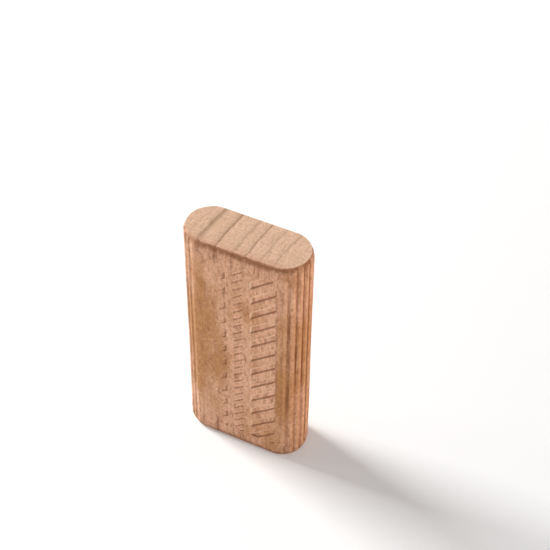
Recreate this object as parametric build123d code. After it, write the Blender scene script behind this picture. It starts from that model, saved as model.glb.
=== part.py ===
"""Loose tenon: a flat beech tongue that joins two boards, half of it glued into a mortise in each.

It is one piece of wood. Its section is a slot, flat on both cheeks and round on both edges.
The round edges are reeded, and the grooves between the reeds let air and spare glue out of the
mortise. Slanted pockets are pressed into both cheeks and hold glue. Both ends are bevelled to
find the mortise.

Frame: origin at the centre of the lower end, +Z along the grain, X across the cheeks,
Y through the thickness. Sizes are in millimetres and angles in degrees.
"""

import os
from math import atan2, cos, degrees, pi, radians, sin, tan

from build123d import *

# The blank
thickness = 10.0
width = 24.0
length = 50.0

# Reeds along the round edges, and the grooves between them
reed_radius = 0.77
reed_spacing = 1.5  # measured round the edge, from one crest to the next
reed_offset = 0.5  # how far the crest nearest to an edge's crown lies past it
groove_depth = 0.36  # square to the edge, so the grooves grow shallower towards the cheeks
plain_edge = 0.7  # least plain wood between the outermost crest and the cheek

# Bevel round both ends, a little deeper than the grooves so that they run out on it
bevel_height = 1.0
bevel_past_grooves = 0.05

# Glue pockets in each cheek, in two columns
pocket_width = 5.1
pocket_side = 1.75  # height of a pocket's upright ends
pocket_pitch = 3.7
pocket_slope = 40.0
pocket_depth = 0.22
pocket_draft = 50.0  # lean of the pressed walls, out of square
pocket_overrun = 0.5  # how far the outer ends run on to the round edges
pocket_fade = 1.2  # in the faint column, the floor rises to the cheek over this width

# Nicks: one column of small pockets between the two
nick_width = 1.9
nick_side = 0.6
nick_depth = 0.1
nicks_per_pocket = 2

# Place of the whole pattern on its cheek
pattern_offset = 0.35  # the press sets it this far off the middle
pattern_margin = 3.35  # plain cheek left at each end
first_pocket = 4.25  # from the upper end down to the middle of the first pocket

# Worked out from the sizes above
edge_radius = thickness / 2
edge_centre = width / 2 - edge_radius
# No crest lies on a crown, so both edges stand out by this much to keep the full width
crown_gap = (edge_radius - reed_radius) * (1 - cos(reed_offset / edge_radius))
bevel_inset = groove_depth + bevel_past_grooves
column_middle = edge_centre + pocket_overrun - pocket_width / 2
nick_pitch = pocket_pitch / nicks_per_pocket


def slot():
    """Section of the blank before the edges are reeded."""
    return SlotOverall(width + 2 * crown_gap, thickness)


def bevelled_blank():
    """Slot-shaped length of wood with both ends bevelled all round."""
    wood = extrude(slot(), length)
    for place in (0, -1):
        end = wood.faces().sort_by(Axis.Z)[place]
        wood = chamfer(end.edges(), bevel_inset, bevel_height, reference=end)
    return wood


def reeded_section():
    """The slot section with round reeds along both edges, each edge the other one turned about."""
    step = reed_spacing / edge_radius
    offset = reed_offset / edge_radius
    room = pi / 2 - plain_edge / edge_radius
    first = -int((room + offset) / step)
    last = int((room - offset) / step)
    angles = [offset + place * step for place in range(first, last + 1)]
    # The grooves lie between the outermost crests, so what they take is cut by rays through those
    far = 2 * edge_radius
    sector = make_face(Polyline(
        (0, 0),
        (far * cos(angles[0]), far * sin(angles[0])),
        (far, far * sin(angles[0])),
        (far, far * sin(angles[-1])),
        (far * cos(angles[-1]), far * sin(angles[-1])),
        close=True,
    ))
    waste = sector - Pos(-groove_depth, 0) * Circle(edge_radius)
    crest_circle = edge_radius - reed_radius
    reeds = [Pos(crest_circle * cos(angle), crest_circle * sin(angle)) * Circle(reed_radius) for angle in angles]
    section = slot()
    for turn in (0, 180):
        edge = Rot(0, 0, turn) * Pos(edge_centre + crown_gap, 0)
        section = section - edge * waste + [edge * reed for reed in reeds]
    return section


def slanted_column(across, side, pitch, depth):
    """Cutters for one column of slanted pockets on the front cheek, round x = 0.

    Each is pressed from an outline with upright ends, and the column is cut off level at
    both margins.
    """
    rise = across * tan(radians(pocket_slope))
    outline = make_face(Polyline(
        (-across / 2, -(side + rise) / 2),
        (across / 2, (rise - side) / 2),
        (across / 2, (side + rise) / 2),
        (-across / 2, (side - rise) / 2),
        close=True,
    ))
    band = Pos(0, length / 2) * Rectangle(2 * across, length - 2 * pattern_margin)
    cheek = Plane(origin=(0, -thickness / 2, 0), x_dir=(1, 0, 0), z_dir=(0, -1, 0))
    cutters = []
    height = length - first_pocket
    while height > pattern_margin - rise / 2:
        for mouth in (Pos(0, height) * outline & band).faces():
            cutters.append(extrude(cheek * mouth, depth, dir=(0, 1, 0), taper=pocket_draft))
        height -= pitch
    return cutters


def faded(pocket):
    """A pocket tipped about its inner end, so that its floor runs out towards the edge."""
    tip = degrees(atan2(pocket_depth, pocket_fade))
    hinge = Pos(pocket_width / 2, -thickness / 2, 0)
    return hinge * Rot(0, 0, tip) * hinge.inverse() * pocket


def cheek_pattern():
    """Cutters for all that is pressed into the front cheek."""
    pockets = slanted_column(pocket_width, pocket_side, pocket_pitch, pocket_depth)
    nicks = slanted_column(nick_width, nick_side, nick_pitch, nick_depth)
    right = [Pos(pattern_offset + column_middle, 0, 0) * pocket for pocket in pockets]
    middle = [Pos(pattern_offset, 0, 0) * nick for nick in nicks]
    left = [Pos(pattern_offset - column_middle, 0, 0) * faded(pocket) for pocket in pockets]
    return right + middle + left


def tenon():
    """The whole tenon, with both cheeks alike when each is seen from its own side."""
    front = cheek_pattern()
    back = [Rot(0, 0, 180) * pocket for pocket in front]
    return (extrude(reeded_section(), length) & bevelled_blank()) - front - back


os.makedirs("parts", exist_ok=True)
export_step(tenon(), "parts/tenon.step")
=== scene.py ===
"""Looks of the beech loose tenon: its wood, the light and the camera."""

from math import cos, radians, sin
from types import SimpleNamespace

import bmesh
import bpy
from mathutils import Matrix, Vector


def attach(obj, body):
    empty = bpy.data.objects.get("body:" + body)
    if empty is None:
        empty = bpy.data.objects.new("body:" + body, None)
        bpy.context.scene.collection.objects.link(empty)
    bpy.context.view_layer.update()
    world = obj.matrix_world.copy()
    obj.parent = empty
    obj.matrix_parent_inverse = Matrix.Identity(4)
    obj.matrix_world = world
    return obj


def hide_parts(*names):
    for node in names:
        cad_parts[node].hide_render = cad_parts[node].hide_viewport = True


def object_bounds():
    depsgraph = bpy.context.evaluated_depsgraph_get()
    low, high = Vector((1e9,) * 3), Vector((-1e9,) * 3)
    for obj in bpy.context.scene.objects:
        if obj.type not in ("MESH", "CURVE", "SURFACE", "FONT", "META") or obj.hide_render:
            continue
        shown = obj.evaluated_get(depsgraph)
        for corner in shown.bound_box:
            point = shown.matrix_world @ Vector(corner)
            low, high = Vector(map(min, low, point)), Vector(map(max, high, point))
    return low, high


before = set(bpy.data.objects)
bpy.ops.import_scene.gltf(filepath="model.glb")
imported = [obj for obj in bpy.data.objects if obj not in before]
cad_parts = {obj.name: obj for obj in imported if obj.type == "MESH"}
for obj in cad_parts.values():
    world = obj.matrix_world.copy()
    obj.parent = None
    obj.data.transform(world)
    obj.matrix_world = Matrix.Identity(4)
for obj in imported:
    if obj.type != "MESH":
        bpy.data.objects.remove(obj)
cad_low, cad_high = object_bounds()

# Everything is placed in metres; sizes below are written in millimetres
MM = 0.001
LENGTH = cad_high.z / MM
WIDTH = (cad_high.x - cad_low.x) / MM
THICKNESS = (cad_high.y - cad_low.y) / MM
EDGE_RADIUS = THICKNESS / 2
EDGE_CENTRE = WIDTH / 2 - EDGE_RADIUS
BEVEL_HEIGHT = 1.0
GROOVE_DEPTH = 0.36
NICKS_WITHIN = 1.6  # from the middle of the cheek
POCKETS_WITHIN = EDGE_CENTRE + 0.9  # from there too, a little way on to the round edge
PLATE_EDGE = 7.9  # where the edge of the press plate met the cheek
DARK_GROOVE = -0.65  # place through the thickness of the groove with the darkest painted shade
FINE_FACE = 0.5  # side of the fine faces that let the surface be uneven

# Growth rings: place across the width, how dark the late wood is, and how far it fades out
RINGS = (
    (-9.2, 0.25, 0.22),
    (-7.3, 0.85, 0.95),
    (-3.7, 1.0, 0.3),
    (-0.4, 0.5, 0.5),
    (2.0, 0.85, 0.22),
    (4.9, 0.45, 0.22),
    (7.4, 0.45, 0.3),
)

# Colour inputs of a Mix node go by number, because their names are used more than once
FACTOR, UNDER, OVER = 0, 6, 7


def srgb(hex_colour):
    """sRGB hex to linear RGBA."""
    channels = [int(hex_colour[i:i + 2], 16) / 255 for i in (1, 3, 5)]
    linear = [c / 12.92 if c <= 0.04045 else ((c + 0.055) / 1.055) ** 2.4 for c in channels]
    return (*linear, 1.0)


def add_camera():
    """Camera above the front right, turned 26 degrees off square and looking down at 45."""
    yaw, pitch, roll = radians(-25.93), radians(44.98), radians(0.68)
    forward = Vector((sin(yaw) * cos(pitch), cos(yaw) * cos(pitch), -sin(pitch)))
    level = Vector((cos(yaw), -sin(yaw), 0))
    upright = level.cross(forward)
    right = cos(roll) * level + sin(roll) * upright
    up = cos(roll) * upright - sin(roll) * level
    data = bpy.data.cameras.new("camera")
    data.sensor_width = 36
    data.lens = 91.0
    data.clip_start = 0.01
    camera = bpy.data.objects.new("camera", data)
    bpy.context.scene.collection.objects.link(camera)
    place = Vector((79.1, -152.15, 212.1)) * MM
    turn = Matrix((right, up, -forward)).transposed().to_4x4()
    camera.matrix_world = Matrix.Translation(place) @ turn
    bpy.context.scene.camera = camera


def add_node(tree, kind, inputs=(), **settings):
    """Add a node, set its properties, and set or link its inputs.

    Inputs come as a list in order, or by name or number. A node stands for the first of its
    outputs that is in use.
    """
    node = tree.nodes.new("ShaderNode" + kind)
    for name, value in settings.items():
        setattr(node, name, value)
    if not isinstance(inputs, dict):
        inputs = dict(enumerate(inputs))
    for socket, value in inputs.items():
        if isinstance(value, bpy.types.Node):
            value = next(output for output in value.outputs if output.enabled)
        if isinstance(value, bpy.types.NodeSocket):
            tree.links.new(value, node.inputs[socket])
        else:
            node.inputs[socket].default_value = value
    return node


def lift_for_the_eye(tree, lift, plain):
    """Strength that is lifted above its plain value where it is seen or mirrored.

    The lift makes the ground look white, and throws no more light on the tenon.
    """
    path = add_node(tree, "LightPath").outputs
    seen = add_node(tree, "Math", [path["Is Camera Ray"], path["Is Glossy Ray"]], operation="MAXIMUM")
    return add_node(tree, "Math", [seen, lift, plain], operation="MULTIPLY_ADD").outputs[0]


def painted_backdrop():
    """Matt white studio paint, lifted a little for the eye so that the ground reads as white."""
    material = bpy.data.materials.new("painted_backdrop")
    material.use_nodes = True
    tree = material.node_tree
    shader = tree.nodes["Principled BSDF"]
    shader.inputs["Base Color"].default_value = srgb("#F0F3F8")
    shader.inputs["Roughness"].default_value = 0.85
    shader.inputs["Emission Color"].default_value = srgb("#FFFFFF")
    # Far from the tenon, where the lamps don't reach, the lift alone makes it white
    coordinate = add_node(tree, "TexCoord").outputs["Object"]
    away = add_node(tree, "VectorMath", [coordinate], operation="LENGTH")
    lift = add_node(tree, "MapRange", [away, 0.12, 0.4, 0.18, 1.0])
    tree.links.new(lift_for_the_eye(tree, lift, plain=0.0), shader.inputs["Emission Strength"])
    return material


def add_floor():
    """Plain white floor under the tenon, wide enough to fill the view."""
    bpy.ops.mesh.primitive_plane_add(size=4, location=(0, 0, 0))
    floor = bpy.context.object
    floor.name = "floor"
    floor.data.materials.append(painted_backdrop())


def add_lamp(name, place, aim, size, watts, colour):
    """Square soft lamp that the camera doesn't see."""
    data = bpy.data.lights.new(name, "AREA")
    data.shape = "SQUARE"
    data.size = size
    data.energy = watts
    data.color = srgb(colour)[:3]
    lamp = bpy.data.objects.new(name, data)
    bpy.context.scene.collection.objects.link(lamp)
    lamp.location = place
    lamp.rotation_euler = (Vector(aim) - Vector(place)).to_track_quat("-Z", "Y").to_euler()
    lamp.visible_camera = False


def light_studio():
    """Key lamp high on the left, low lamps on the left and behind on the right, and a dim room.

    A warm card lies in front and throws light up.
    """
    middle = (0, 0, LENGTH / 2 * MM)
    add_lamp("key", (-0.78, 0.09, 0.62), middle, size=0.30, watts=10.1, colour="#FFFDF8")
    add_lamp("low_left", (-0.78, -0.22, 0.10), middle, size=0.15, watts=1.4, colour="#FFF4E8")
    above = (0.03, -0.08, 0.10)
    add_lamp("card", (0.07, -0.12, 0.002), above, size=0.14, watts=0.25, colour="#FFE6CC")
    add_lamp("low_right", (0.70, 0.45, 0.10), middle, size=0.12, watts=3.3, colour="#FFD3AC")
    world = bpy.data.worlds.new("studio")
    world.use_nodes = True
    tree = world.node_tree
    background = tree.nodes["Background"]
    background.inputs["Color"].default_value = srgb("#FFFFFF")
    tree.links.new(lift_for_the_eye(tree, lift=0.75, plain=0.25), background.inputs["Strength"])
    bpy.context.scene.world = world
    bpy.context.scene.view_settings.view_transform = "Standard"


def read_surface(tree):
    """Where a point lies on the tenon, in millimetres, and which way the wood faces there.

    End grain is 1 on the sawn ends and 0 on the rest, and side grain is the other way round.
    """
    coordinate = add_node(tree, "TexCoord").outputs
    place = add_node(tree, "Mapping", {"Vector": coordinate["Object"], "Scale": [1 / MM] * 3})
    x, y, z = add_node(tree, "SeparateXYZ", [place]).outputs
    facing = add_node(tree, "SeparateXYZ", [coordinate["Normal"]]).outputs
    off_halfway = add_node(tree, "Math", [z, LENGTH / 2], operation="SUBTRACT")
    off_halfway = add_node(tree, "Math", [off_halfway], operation="ABSOLUTE")
    facing_end = add_node(tree, "Math", [facing["Z"]], operation="ABSOLUTE")
    end_grain = add_node(tree, "MapRange", [facing_end, 0.9, 0.98])
    return SimpleNamespace(
        place=place,
        x=x,
        y=y,
        off_middle=add_node(tree, "Math", [x], operation="ABSOLUTE"),
        to_end=add_node(tree, "Math", [LENGTH / 2, off_halfway], operation="SUBTRACT"),
        facing=facing,
        end_grain=end_grain,
        side_grain=add_node(tree, "Math", [1.0, end_grain], operation="SUBTRACT"),
    )


def uneven_patterns(tree, place):
    """Noise for the marks in the wood, each drawn out in its own way.

    The numbers are how far it is drawn out, its features per millimetre, detail and roughness.
    """
    patterns = {}
    for name, stretch, scale, detail, roughness in (
        # How the rings wander: slowly, and in a small ripple
        ("wander", (1.0, 1.6, 0.25), 0.08, 2.0, 0.5),
        ("ripple", (1.0, 1.0, 0.2), 1.3, 3.0, 0.5),
        # Fibres along the grain, drawn at 0.25 mm, twice as coarse as they are, so that they show
        ("fibres", (1.0, 1.0, 0.07), 2.4, 4.0, 0.65),
        # Pores: speckle all over, about 0.3 mm, some three times as coarse as they are
        ("pores", (1.0, 1.0, 0.6), 2.0, 4.0, 0.8),
        # On the sawn ends: lines along the rings, and rays across them
        ("early_wood", (1.0, 0.15, 0.1), 2.2, 3.0, 0.5),
        ("rays", (0.2, 1.0, 0.1), 2.0, 3.0, 0.5),
        # Ray flecks: spindles along the grain, 0.3 mm wide and up to 1.5 mm long
        ("flecks", (1.0, 1.0, 0.17), 2.05, 1.0, 0.5),
        # Smudges, 1 to 2 mm across, and patches, some 8 mm across
        ("smudges", (1.0, 1.0, 0.6), 0.75, 2.0, 0.5),
        ("patches", (1.0, 1.0, 0.45), 0.2, 3.0, 0.5),
        # Streaks at the ends, and patches of painted shade and dirt along the grooves
        ("smears", (1.0, 1.0, 0.12), 0.9, 2.0, 0.5),
        ("groove_dirt_and_shade", (1.0, 1.0, 0.25), 0.5, 2.0, 0.5),
    ):
        drawn_out = add_node(tree, "Mapping", {"Vector": place, "Scale": stretch})
        inputs = {"Vector": drawn_out, "Scale": scale, "Detail": detail, "Roughness": roughness}
        patterns[name] = add_node(tree, "TexNoise", inputs)
    return patterns


def faded(tree, mark, *fades):
    """A mark times its fades.

    Each fade is what it follows, from where and to where, and how strong it leaves the mark at
    both, which is nothing and full unless it says so.
    """
    for fade in fades:
        strength = add_node(tree, "MapRange", fade)
        mark = add_node(tree, "Math", [mark, strength], operation="MULTIPLY")
    return mark


def stained(tree, wood, stains):
    """Wood under its stains: where each lies, its strength and its colour, the lowest first."""
    for mark, strength, colour in stains:
        depth = add_node(tree, "Math", [mark, strength], operation="MULTIPLY")
        layers = {FACTOR: depth, UNDER: wood, OVER: srgb(colour)}
        wood = add_node(tree, "Mix", layers, data_type="RGBA")
    return wood


def growth_rings(tree, surface, patterns):
    """Thin late wood that wanders a little, and darkens slowly up to its edge."""
    lean, wander, ripple = -0.1, 1.6, 0.15
    across = add_node(tree, "Math", [surface.y, lean, surface.x], operation="MULTIPLY_ADD")
    across = add_node(tree, "Math", [patterns["wander"], wander, across], operation="MULTIPLY_ADD")
    across = add_node(tree, "Math", [patterns["ripple"], ripple, across], operation="MULTIPLY_ADD")
    # Both patterns lie round a half, so they move the middle of the width to here
    middle = 0.5 * (wander + ripple)
    across = add_node(tree, "MapRange", [across, middle - WIDTH / 2, middle + WIDTH / 2])
    rings = add_node(tree, "ValToRGB", [across])
    stops = rings.color_ramp.elements
    stops[1].color = (0, 0, 0, 1)
    for ring, strength, fade in RINGS:
        for offset, depth in ((-1.2, 0.0), (-0.26, 0.25), (0.0, 1.0), (fade, 0.0)):
            stop = stops.new((ring + offset) / WIDTH + 0.5)
            stop.color = (*[depth * strength] * 3, 1)
    return rings


def brown_patches(tree, surface, patterns):
    """Browner wood: in patches, down the left of the cheek and beside the pockets, off the ends."""
    left = add_node(tree, "MapRange", [surface.x, -0.5, -6.5])
    left = faded(tree, left, (surface.x, -10.5, -8.0, 0.35, 1.0))
    right = add_node(tree, "MapRange", [surface.x, PLATE_EDGE - 0.2, PLATE_EDGE + 0.2, 0.0, 0.8])
    strip = add_node(tree, "Math", [left, right], operation="MAXIMUM")
    strip = faded(tree, strip, (surface.to_end, 8.0, 14.5))
    patch = add_node(tree, "Math", [strip, 0.28, patterns["patches"]], operation="MULTIPLY_ADD")
    return add_node(tree, "MapRange", [patch, 0.50, 0.74])


def end_streaks(tree, surface, patterns, rings):
    """Dark streaks that run in from the ends: longest where the rings are, and others between."""
    run = add_node(tree, "Math", [patterns["wander"], -9.0, surface.to_end], operation="MULTIPLY_ADD")
    ring_streak = faded(
        tree,
        add_node(tree, "MapRange", [rings, 0.05, 0.45]),
        (run, 0.6, -1.0),
        (surface.x, -7.5, -5.5, 0.5, 1.0),
        (surface.x, -3.0, 1.5, 1.0, 0.4),
    )
    smear = add_node(tree, "MapRange", [patterns["smears"], 0.56, 0.76])
    smear = faded(tree, smear, (run, -0.5, -2.5))
    return add_node(tree, "Math", [ring_streak, smear], operation="MAXIMUM")


def plate_line(tree, surface):
    """Line that the edge of the press plate leaves beside the pockets."""
    off_line = add_node(tree, "Math", [surface.x, PLATE_EDGE], operation="SUBTRACT")
    off_line = add_node(tree, "Math", [off_line], operation="ABSOLUTE")
    line = add_node(tree, "MapRange", [off_line, 0.22, 0.06])
    return faded(tree, line, (surface.to_end, 5.0, 9.0))


def reeded_edges(tree, surface, patterns):
    """Rubbed crests of the reeds with a painted highlight, and painted shade with dirt in the grooves
    between them.
    """
    # Both are told by their distance from the axis of the round edge
    arm = add_node(tree, "Math", [surface.off_middle, EDGE_CENTRE], operation="SUBTRACT")
    arm = add_node(tree, "Math", [arm, 0.0], operation="MAXIMUM")
    reach = add_node(tree, "Math", [arm, arm], operation="MULTIPLY")
    reach = add_node(tree, "Math", [surface.y, surface.y, reach], operation="MULTIPLY_ADD")
    reach = add_node(tree, "Math", [reach], operation="SQRT")
    # They begin a little way round from the cheek
    reeded = add_node(tree, "MapRange", [surface.off_middle, EDGE_CENTRE + 1.3, EDGE_CENTRE + 2.4])
    reeded = add_node(tree, "Math", [reeded, surface.side_grain], operation="MULTIPLY")
    # Paler crests: rubbing, and a painted highlight
    rubbed_crest_highlight = add_node(tree, "MapRange", [reach, EDGE_RADIUS - 0.12, EDGE_RADIUS - 0.04])
    rubbed_crest_highlight = add_node(tree, "Math", [rubbed_crest_highlight, reeded], operation="MULTIPLY")
    # The grooves are cut square to the edge, so their depth shrinks with the arm
    full_depth = add_node(tree, "Math", [arm, EDGE_RADIUS], operation="DIVIDE")
    sunk = add_node(tree, "Math", [EDGE_RADIUS, reach], operation="SUBTRACT")
    sunk = add_node(tree, "Math", [sunk, full_depth], operation="DIVIDE")
    # Painted shade and dirt lie at their bottom, here and there, and less of it near the ends of the
    # shallow ones
    groove_shade_and_dirt = add_node(tree, "MapRange", [sunk, 0.27, GROOVE_DEPTH + 0.03])
    groove_shade_and_dirt = faded(tree, groove_shade_and_dirt, (patterns["groove_dirt_and_shade"], 0.38, 0.62, 0.15, 0.7))
    inland = add_node(tree, "MapRange", [surface.to_end, 2.0, 18.0, 0.25, 1.35])
    deep = add_node(tree, "MapRange", [arm, 2.9, 3.7])
    strength = add_node(tree, "Math", [inland, deep], operation="MAXIMUM")
    groove_shade_and_dirt = add_node(tree, "Math", [groove_shade_and_dirt, strength], operation="MULTIPLY")
    # One groove near the crown of the right edge gets painted shade all over
    off_groove = add_node(tree, "Math", [surface.y, DARK_GROOVE], operation="SUBTRACT")
    off_groove = add_node(tree, "Math", [off_groove], operation="ABSOLUTE")
    on_right = add_node(tree, "Math", [surface.x, 0.0], operation="GREATER_THAN")
    dark_groove = add_node(tree, "MapRange", [sunk, 0.10, 0.28, 0.0, 0.75])
    dark_groove = faded(tree, dark_groove, (off_groove, 0.85, 0.5), (on_right, 0.0, 1.0))
    groove_shade_and_dirt = add_node(tree, "Math", [groove_shade_and_dirt, dark_groove], operation="MAXIMUM")
    groove_shade_and_dirt = add_node(tree, "Math", [groove_shade_and_dirt, reeded], operation="MULTIPLY")
    # The painted shade and dirt in the grooves are weaker on the left edge
    groove_shade_and_dirt = faded(tree, groove_shade_and_dirt, (surface.x, -8.0, 8.0, 0.45, 1.0))
    return rubbed_crest_highlight, groove_shade_and_dirt


def pressed_marks(tree, surface):
    """Painted shade and painted highlights on what is pressed into the cheeks.

    The walls below and at the outer end of the deep column get painted shade, and the walls
    above and at its inner end a painted highlight. The floors of the faint column get painted
    shade where they are deepest.
    """
    inside = add_node(tree, "Math", [surface.off_middle, POCKETS_WITHIN], operation="LESS_THAN")
    past_bevel = BEVEL_HEIGHT + 0.5
    off_bevel = add_node(tree, "Math", [surface.to_end, past_bevel], operation="GREATER_THAN")
    on_cheek = add_node(tree, "Math", [inside, off_bevel], operation="MULTIPLY")
    which_cheek = add_node(tree, "Math", [surface.y], operation="SIGN")
    inwards = add_node(tree, "Math", [surface.facing["X"], which_cheek], operation="MULTIPLY")
    off_nicks = add_node(tree, "Math", [surface.off_middle, NICKS_WITHIN], operation="GREATER_THAN")
    inwards = add_node(tree, "Math", [inwards, off_nicks], operation="MULTIPLY")
    lower_wall = add_node(tree, "MapRange", [surface.facing["Z"], 0.2, 0.5])
    outer_wall = add_node(tree, "MapRange", [inwards, 0.2, 0.45])
    # Painted shade on the walls that face up and at the outer ends
    painted_wall_shade = add_node(tree, "Math", [lower_wall, outer_wall], operation="MAXIMUM")
    painted_wall_shade = add_node(tree, "Math", [painted_wall_shade, on_cheek], operation="MULTIPLY")
    # Painted shade on the floors of the faint column, where they are deepest
    through = add_node(tree, "Math", [surface.y], operation="ABSOLUTE")
    painted_floor_shade = add_node(tree, "MapRange", [through, THICKNESS / 2 - 0.17, THICKNESS / 2 - 0.30])
    faint_side = add_node(tree, "Math", [surface.x, which_cheek], operation="MULTIPLY")
    faint_side = add_node(tree, "Math", [faint_side, 0.0], operation="GREATER_THAN")
    painted_floor_shade = add_node(tree, "Math", [painted_floor_shade, faint_side], operation="MULTIPLY")
    painted_floor_shade = add_node(tree, "Math", [painted_floor_shade, on_cheek], operation="MULTIPLY")
    # Painted highlight on the walls that face down and at the inner ends
    upper_wall = add_node(tree, "MapRange", [surface.facing["Z"], -0.2, -0.5])
    inner_wall = add_node(tree, "MapRange", [inwards, -0.3, -0.6])
    painted_wall_highlight = add_node(tree, "Math", [upper_wall, inner_wall], operation="MAXIMUM")
    painted_wall_highlight = add_node(tree, "Math", [painted_wall_highlight, on_cheek], operation="MULTIPLY")
    return painted_wall_shade, painted_floor_shade, painted_wall_highlight


def bevel_shade_and_burnish(tree, surface, patterns):
    """Painted shade with burnish on the bevels, over an uneven edge.

    It is paler along the arris and round the edges.
    """
    end = surface.to_end
    # A band of painted shade with burnish along the bevels
    ragged = add_node(tree, "Math", [patterns["ripple"], -1.9, end], operation="MULTIPLY_ADD")
    return faded(
        tree,
        add_node(tree, "MapRange", [ragged, 0.55, -0.35]),
        (end, 0.0, 0.45),
        (surface.x, -11.0, -5.0, 0.1, 1.0),
        (surface.x, 8.5, 11.0, 1.0, 0.15),
        (surface.side_grain, 0.0, 1.0),
    )


def pressed_beech():
    """Steamed beech, sawn across the ends and pressed on the cheeks and the edges.

    The eye gets a pinkish tan wood with thin dark rings across the sawn ends, short brown
    ray flecks down the cheeks, painted shade with burnish on the bevels and with dirt in the
    grooves, a painted highlight on the rubbed reed crests, and painted shade and highlights
    on the pressed pocket walls.
    """
    material = bpy.data.materials.new("pressed_beech")
    material.use_nodes = True
    tree = material.node_tree
    shader = tree.nodes["Principled BSDF"]
    surface = read_surface(tree)
    patterns = uneven_patterns(tree, surface.place)
    rings = growth_rings(tree, surface, patterns)
    patch = brown_patches(tree, surface, patterns)

    # Wood along the grain, on the cheeks and round the edges
    near_end = add_node(tree, "MapRange", [surface.to_end, 8.0, 0.0])
    smudge = add_node(tree, "MapRange", [patterns["smudges"], 0.56, 0.70])
    fibre = add_node(tree, "MapRange", [patterns["fibres"], 0.35, 0.72])
    fleck = add_node(tree, "MapRange", [patterns["flecks"], 0.63, 0.80])
    side = stained(tree, srgb("#ECBA9C"), (
        (patch, 1.0, "#C38C56"),
        (near_end, 0.18, "#9C6846"),
        (smudge, 0.5, "#A86C46"),
        (fibre, 0.55, "#BA8460"),
        (fleck, 0.8, "#8A5230"),
        (end_streaks(tree, surface, patterns, rings), 0.85, "#84502C"),
        (plate_line(tree, surface), 0.35, "#8A5230"),
    ))

    # Wood across the grain, on the sawn ends, where handling has rubbed the front arris
    early_wood = add_node(tree, "MapRange", [patterns["early_wood"], 0.4, 0.7])
    ray = add_node(tree, "MapRange", [patterns["rays"], 0.4, 0.7])
    rubbed = add_node(tree, "MapRange", [surface.y, -2.7, -4.6])
    end = stained(tree, srgb("#F0C9AE"), (
        (patch, 1.0, "#EAC3A0"),
        (early_wood, 0.35, "#C09472"),
        (ray, 0.3, "#C79C7A"),
        (rings, 0.8, "#7E5A3E"),
        (rubbed, 0.45, "#D29A7C"),
    ))
    layers = {FACTOR: surface.end_grain, UNDER: side, OVER: end}
    wood = add_node(tree, "Mix", layers, data_type="RGBA")

    # Over both lie the pores, what the work has left, and painted shade and highlights
    weaker_on_ends = (surface.end_grain, 0.0, 1.0, 1.0, 0.65)
    weaker_on_patches = (patch, 0.0, 1.0, 1.0, 0.4)
    dark_pore = add_node(tree, "MapRange", [patterns["pores"], 0.48, 0.72])
    pale_pore = add_node(tree, "MapRange", [patterns["pores"], 0.5, 0.3])
    rubbed_crest_highlight, groove_shade_and_dirt = reeded_edges(tree, surface, patterns)
    painted_wall_shade, painted_floor_shade, painted_wall_highlight = pressed_marks(tree, surface)
    wood = stained(tree, wood, (
        (faded(tree, dark_pore, weaker_on_ends), 0.65, "#98684A"),
        (faded(tree, pale_pore, weaker_on_ends, weaker_on_patches), 0.6, "#F6D2B6"),
        # Rubbing and a painted highlight on the reed crests
        (rubbed_crest_highlight, 0.2, "#EBBB90"),
        # Painted shade and dirt in the reed grooves
        (groove_shade_and_dirt, 1.0, "#824A24"),
        # Painted shade on the lower and outer pocket walls and the deepest floors, and a painted
        # highlight on the upper and inner walls
        (painted_wall_shade, 0.65, "#7E4828"),
        (painted_floor_shade, 0.8, "#824B2A"),
        (painted_wall_highlight, 0.75, "#F8DABF"),
        # Painted shade with burnish on the bevels
        (bevel_shade_and_burnish(tree, surface, patterns), 0.85, "#8A5734"),
    ))
    tree.links.new(wood.outputs["Result"], shader.inputs["Base Color"])

    # Relief: fibres stand up by some hundredths of a millimetre, and pores and flecks are sunk
    pores, fibres = patterns["pores"], patterns["fibres"]
    relief = add_node(tree, "Math", [pores, -0.6, fibres], operation="MULTIPLY_ADD")
    relief = add_node(tree, "Math", [fleck, -0.5, relief], operation="MULTIPLY_ADD")
    bump = add_node(tree, "Bump", {"Height": relief, "Distance": 0.12 * MM})
    tree.links.new(bump.outputs["Normal"], shader.inputs["Normal"])
    shader.inputs["Roughness"].default_value = 0.65
    shader.inputs["IOR"].default_value = 1.5
    shader.inputs["Specular IOR Level"].default_value = 0.3
    return material


def evenly(low, high, step):
    """Places between two ends, about a step apart."""
    count = round((high - low) / step)
    return [low + (high - low) * place / count for place in range(1, count)]


def show_only(piece, wanted):
    """Hide the faces that are not wanted, by their middle and normal in millimetres."""
    bpy.ops.mesh.reveal(select=False)
    bpy.ops.mesh.select_all(action="DESELECT")
    mesh = bmesh.from_edit_mesh(piece.data)
    for face in mesh.faces:
        face.select_set(wanted(face.calc_center_median() / MM, face.normal))
    bmesh.update_edit_mesh(piece.data)
    bpy.ops.mesh.hide(unselected=True)


def cut_across(axis, places):
    """Cut the faces that show with planes square to an axis."""
    for place in places:
        bpy.ops.mesh.select_all(action="SELECT")
        bpy.ops.mesh.bisect(plane_co=Vector(axis) * place * MM, plane_no=axis)


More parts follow.
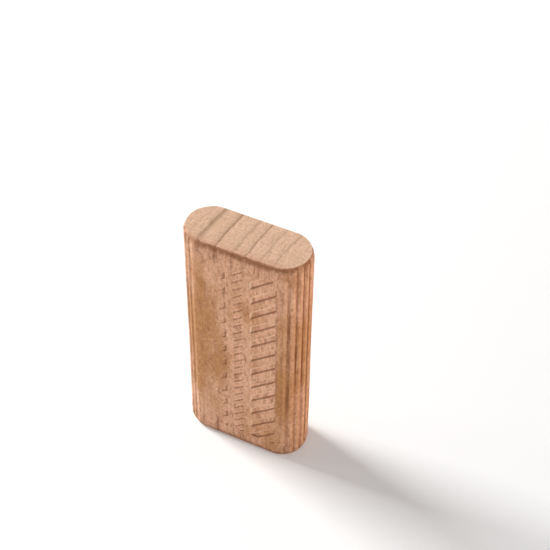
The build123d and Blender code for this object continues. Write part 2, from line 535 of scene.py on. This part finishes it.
def roughen(piece, name, size, stretch, depth):
    """Sink the surface unevenly: up to a depth, in marks of a size, drawn out along the grain."""
    along_grain = bpy.data.objects.new("along_grain", None)
    bpy.context.scene.collection.objects.link(along_grain)
    along_grain.scale = (1, 1, stretch)
    clouds = bpy.data.textures.new(name, "CLOUDS")
    clouds.noise_scale = size * MM
    clouds.noise_depth = 1
    displace = piece.modifiers.new(name, "DISPLACE")
    displace.texture = clouds
    displace.texture_coords = "OBJECT"
    displace.texture_coords_object = along_grain
    displace.mid_level = 1.0
    displace.strength = depth * MM
    bpy.context.view_layer.update()
    bpy.ops.object.modifier_apply(modifier=name)
    bpy.data.objects.remove(along_grain)


def pressed_tenon(blank):
    """The tenon cut from a copy of the plain one, with the slight unevenness of pressed wood."""
    bpy.ops.object.select_all(action="DESELECT")
    piece = bpy.data.objects.new("pressed_tenon", blank.data.copy())
    bpy.context.scene.collection.objects.link(piece)
    bpy.context.view_layer.objects.active = piece
    piece.select_set(True)
    bpy.ops.object.mode_set(mode="EDIT")
    bpy.ops.mesh.select_all(action="SELECT")
    bpy.ops.mesh.remove_doubles(threshold=0.001 * MM)
    bpy.ops.mesh.customdata_custom_splitnormals_clear()
    bpy.ops.mesh.dissolve_limited(angle_limit=radians(0.5))
    # Finer faces, so that the surface can be uneven: up the cheeks and across the ends,
    # then the other way across the ends, and last round the whole tenon
    show_only(piece, lambda middle, normal: abs(middle.x) < EDGE_CENTRE or abs(normal.z) > 0.99)
    cut_across((1, 0, 0), evenly(-WIDTH / 2, WIDTH / 2, FINE_FACE))
    show_only(piece, lambda middle, normal: abs(normal.z) > 0.99)
    cut_across((0, 1, 0), evenly(-THICKNESS / 2, THICKNESS / 2, FINE_FACE))
    bpy.ops.mesh.reveal(select=False)
    more_on_bevels = [0.25, 0.75, LENGTH - 0.75, LENGTH - 0.25]
    cut_across((0, 0, 1), more_on_bevels + evenly(0, LENGTH, FINE_FACE))
    bpy.ops.object.mode_set(mode="OBJECT")
    roughen(piece, "wander", size=2.5, stretch=6.0, depth=0.10)
    roughen(piece, "grain", size=0.6, stretch=8.0, depth=0.04)
    bpy.ops.object.shade_smooth_by_angle(angle=radians(25))
    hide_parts("tenon")
    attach(piece, "root")
    return piece


add_camera()
add_floor()
light_studio()
tenon = pressed_tenon(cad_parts["tenon"])
tenon.data.materials.clear()
tenon.data.materials.append(pressed_beech())
